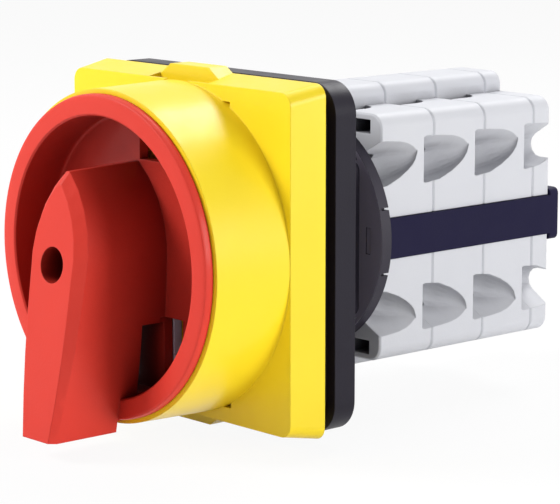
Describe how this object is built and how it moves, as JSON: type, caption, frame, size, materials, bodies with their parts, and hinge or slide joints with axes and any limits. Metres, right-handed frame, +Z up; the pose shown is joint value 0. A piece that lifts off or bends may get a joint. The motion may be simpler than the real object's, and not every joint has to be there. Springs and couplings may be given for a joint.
{
  "type": "cam switch",
  "caption": "Padlockable rotary cam switch for a panel: red handle in a yellow shroud, square frame, latch housing and a stack of contact stages.",
  "frame": {"origin": "spindle axis at the rear face of the square backing frame, where it lies on the panel", "axes": "+Y along the spindle into the panel, -Y towards the user, +Z up, +X to the user's right"},
  "size_m": [0.0654, 0.1168, 0.068],
  "materials": {
    "yellow_plastic": "moulded, half gloss",
    "red_plastic": "moulded, satin",
    "dark_plastic": "moulded, satin",
    "black_rubber": "moulded, matt",
    "navy_plastic": "moulded, satin",
    "light_grey_plastic": "moulded, satin",
    "grey_plastic": "moulded, satin",
    "white_plastic": "moulded, satin",
    "contact_brass": "stamped strip",
    "plated_steel": "zinc plated"
  },
  "bodies": {
    "base": {"backing_frame": "dark_plastic", "gasket": "black_rubber", "front_shroud": "yellow_plastic", "latch_housing": "dark_plastic", "latch_screws": "plated_steel", "end_plate": "light_grey_plastic", "rear_cap": "grey_plastic", "clamp_bar_right": "navy_plastic", "clamp_bar_left": "navy_plastic", "stage_housing_1": "light_grey_plastic", "stage_housing_2": "light_grey_plastic", "stage_housing_3": "light_grey_plastic", "fixed_contacts_1": "contact_brass", "fixed_contacts_2": "contact_brass", "fixed_contacts_3": "contact_brass", "terminal_screws_1": "plated_steel", "terminal_screws_2": "plated_steel", "terminal_screws_3": "plated_steel", "contact_spring_1_top": "plated_steel", "contact_spring_1_bottom": "plated_steel", "contact_spring_2_top": "plated_steel", "contact_spring_2_bottom": "plated_steel", "contact_spring_3_top": "plated_steel", "contact_spring_3_bottom": "plated_steel", "index_spring_top": "plated_steel", "index_spring_bottom": "plated_steel"},
    "rotor": {"handle": "red_plastic", "handle_screw": "plated_steel", "spindle": "plated_steel", "index_wheel": "white_plastic", "cam_1": "white_plastic", "cam_2": "white_plastic", "cam_3": "white_plastic"},
    "padlock_slide": {"lock_slide": "grey_plastic"},
    "plunger_body_1_top": {"plunger_1_top": "white_plastic", "contact_bridge_1_top": "contact_brass"},
    "plunger_body_1_bottom": {"plunger_1_bottom": "white_plastic", "contact_bridge_1_bottom": "contact_brass"},
    "plunger_body_2_top": {"plunger_2_top": "white_plastic", "contact_bridge_2_top": "contact_brass"},
    "plunger_body_2_bottom": {"plunger_2_bottom": "white_plastic", "contact_bridge_2_bottom": "contact_brass"},
    "plunger_body_3_top": {"plunger_3_top": "white_plastic", "contact_bridge_3_top": "contact_brass"},
    "plunger_body_3_bottom": {"plunger_3_bottom": "white_plastic", "contact_bridge_3_bottom": "contact_brass"},
    "index_roller_body_top": {"index_roller_top": "plated_steel"},
    "index_roller_body_bottom": {"index_roller_bottom": "plated_steel"}
  },
  "joints": [
    {"name": "handle_turn", "type": "hinge", "parent": "base", "child": "rotor", "pos_m": [0, 0, 0], "axis": [0, 1, 0], "range_deg": [0, 90]},
    {"name": "padlock_slide_out", "type": "slide", "parent": "rotor", "child": "padlock_slide", "axis": [0, 0, -1], "range_m": [0, 0.0033]},
    {"name": "plunger_slide_1_top", "type": "slide", "parent": "base", "child": "plunger_body_1_top", "axis": [0, 0, 1], "range_m": [-0.002, 0], "deforming": ["contact_spring_1_top"]},
    {"name": "plunger_slide_1_bottom", "type": "slide", "parent": "base", "child": "plunger_body_1_bottom", "axis": [0, 0, -1], "range_m": [-0.002, 0], "deforming": ["contact_spring_1_bottom"]},
    {"name": "plunger_slide_2_top", "type": "slide", "parent": "base", "child": "plunger_body_2_top", "axis": [0, 0, 1], "range_m": [-0.002, 0], "deforming": ["contact_spring_2_top"]},
    {"name": "plunger_slide_2_bottom", "type": "slide", "parent": "base", "child": "plunger_body_2_bottom", "axis": [0, 0, -1], "range_m": [-0.002, 0], "deforming": ["contact_spring_2_bottom"]},
    {"name": "plunger_slide_3_top", "type": "slide", "parent": "base", "child": "plunger_body_3_top", "axis": [0, 0, 1], "range_m": [-0.002, 0], "deforming": ["contact_spring_3_top"]},
    {"name": "plunger_slide_3_bottom", "type": "slide", "parent": "base", "child": "plunger_body_3_bottom", "axis": [0, 0, -1], "range_m": [-0.002, 0], "deforming": ["contact_spring_3_bottom"]},
    {"name": "index_roller_slide_top", "type": "slide", "parent": "base", "child": "index_roller_body_top", "axis": [0, 0, 1], "range_m": [-0.0012, 0], "deforming": ["index_spring_top"]},
    {"name": "index_roller_slide_bottom", "type": "slide", "parent": "base", "child": "index_roller_body_bottom", "axis": [0, 0, -1], "range_m": [-0.0012, 0], "deforming": ["index_spring_bottom"]}
  ],
  "couplings": [
    {"joint": "plunger_slide_1_top", "follows": "handle_turn", "m_per_rad": -0.0012732},
    {"joint": "plunger_slide_1_bottom", "follows": "handle_turn", "m_per_rad": -0.0012732},
    {"joint": "plunger_slide_2_top", "follows": "handle_turn", "m_per_rad": -0.0012732},
    {"joint": "plunger_slide_2_bottom", "follows": "handle_turn", "m_per_rad": -0.0012732},
    {"joint": "plunger_slide_3_top", "follows": "handle_turn", "m_per_rad": -0.0012732},
    {"joint": "plunger_slide_3_bottom", "follows": "handle_turn", "m_per_rad": -0.0012732}
  ]
}
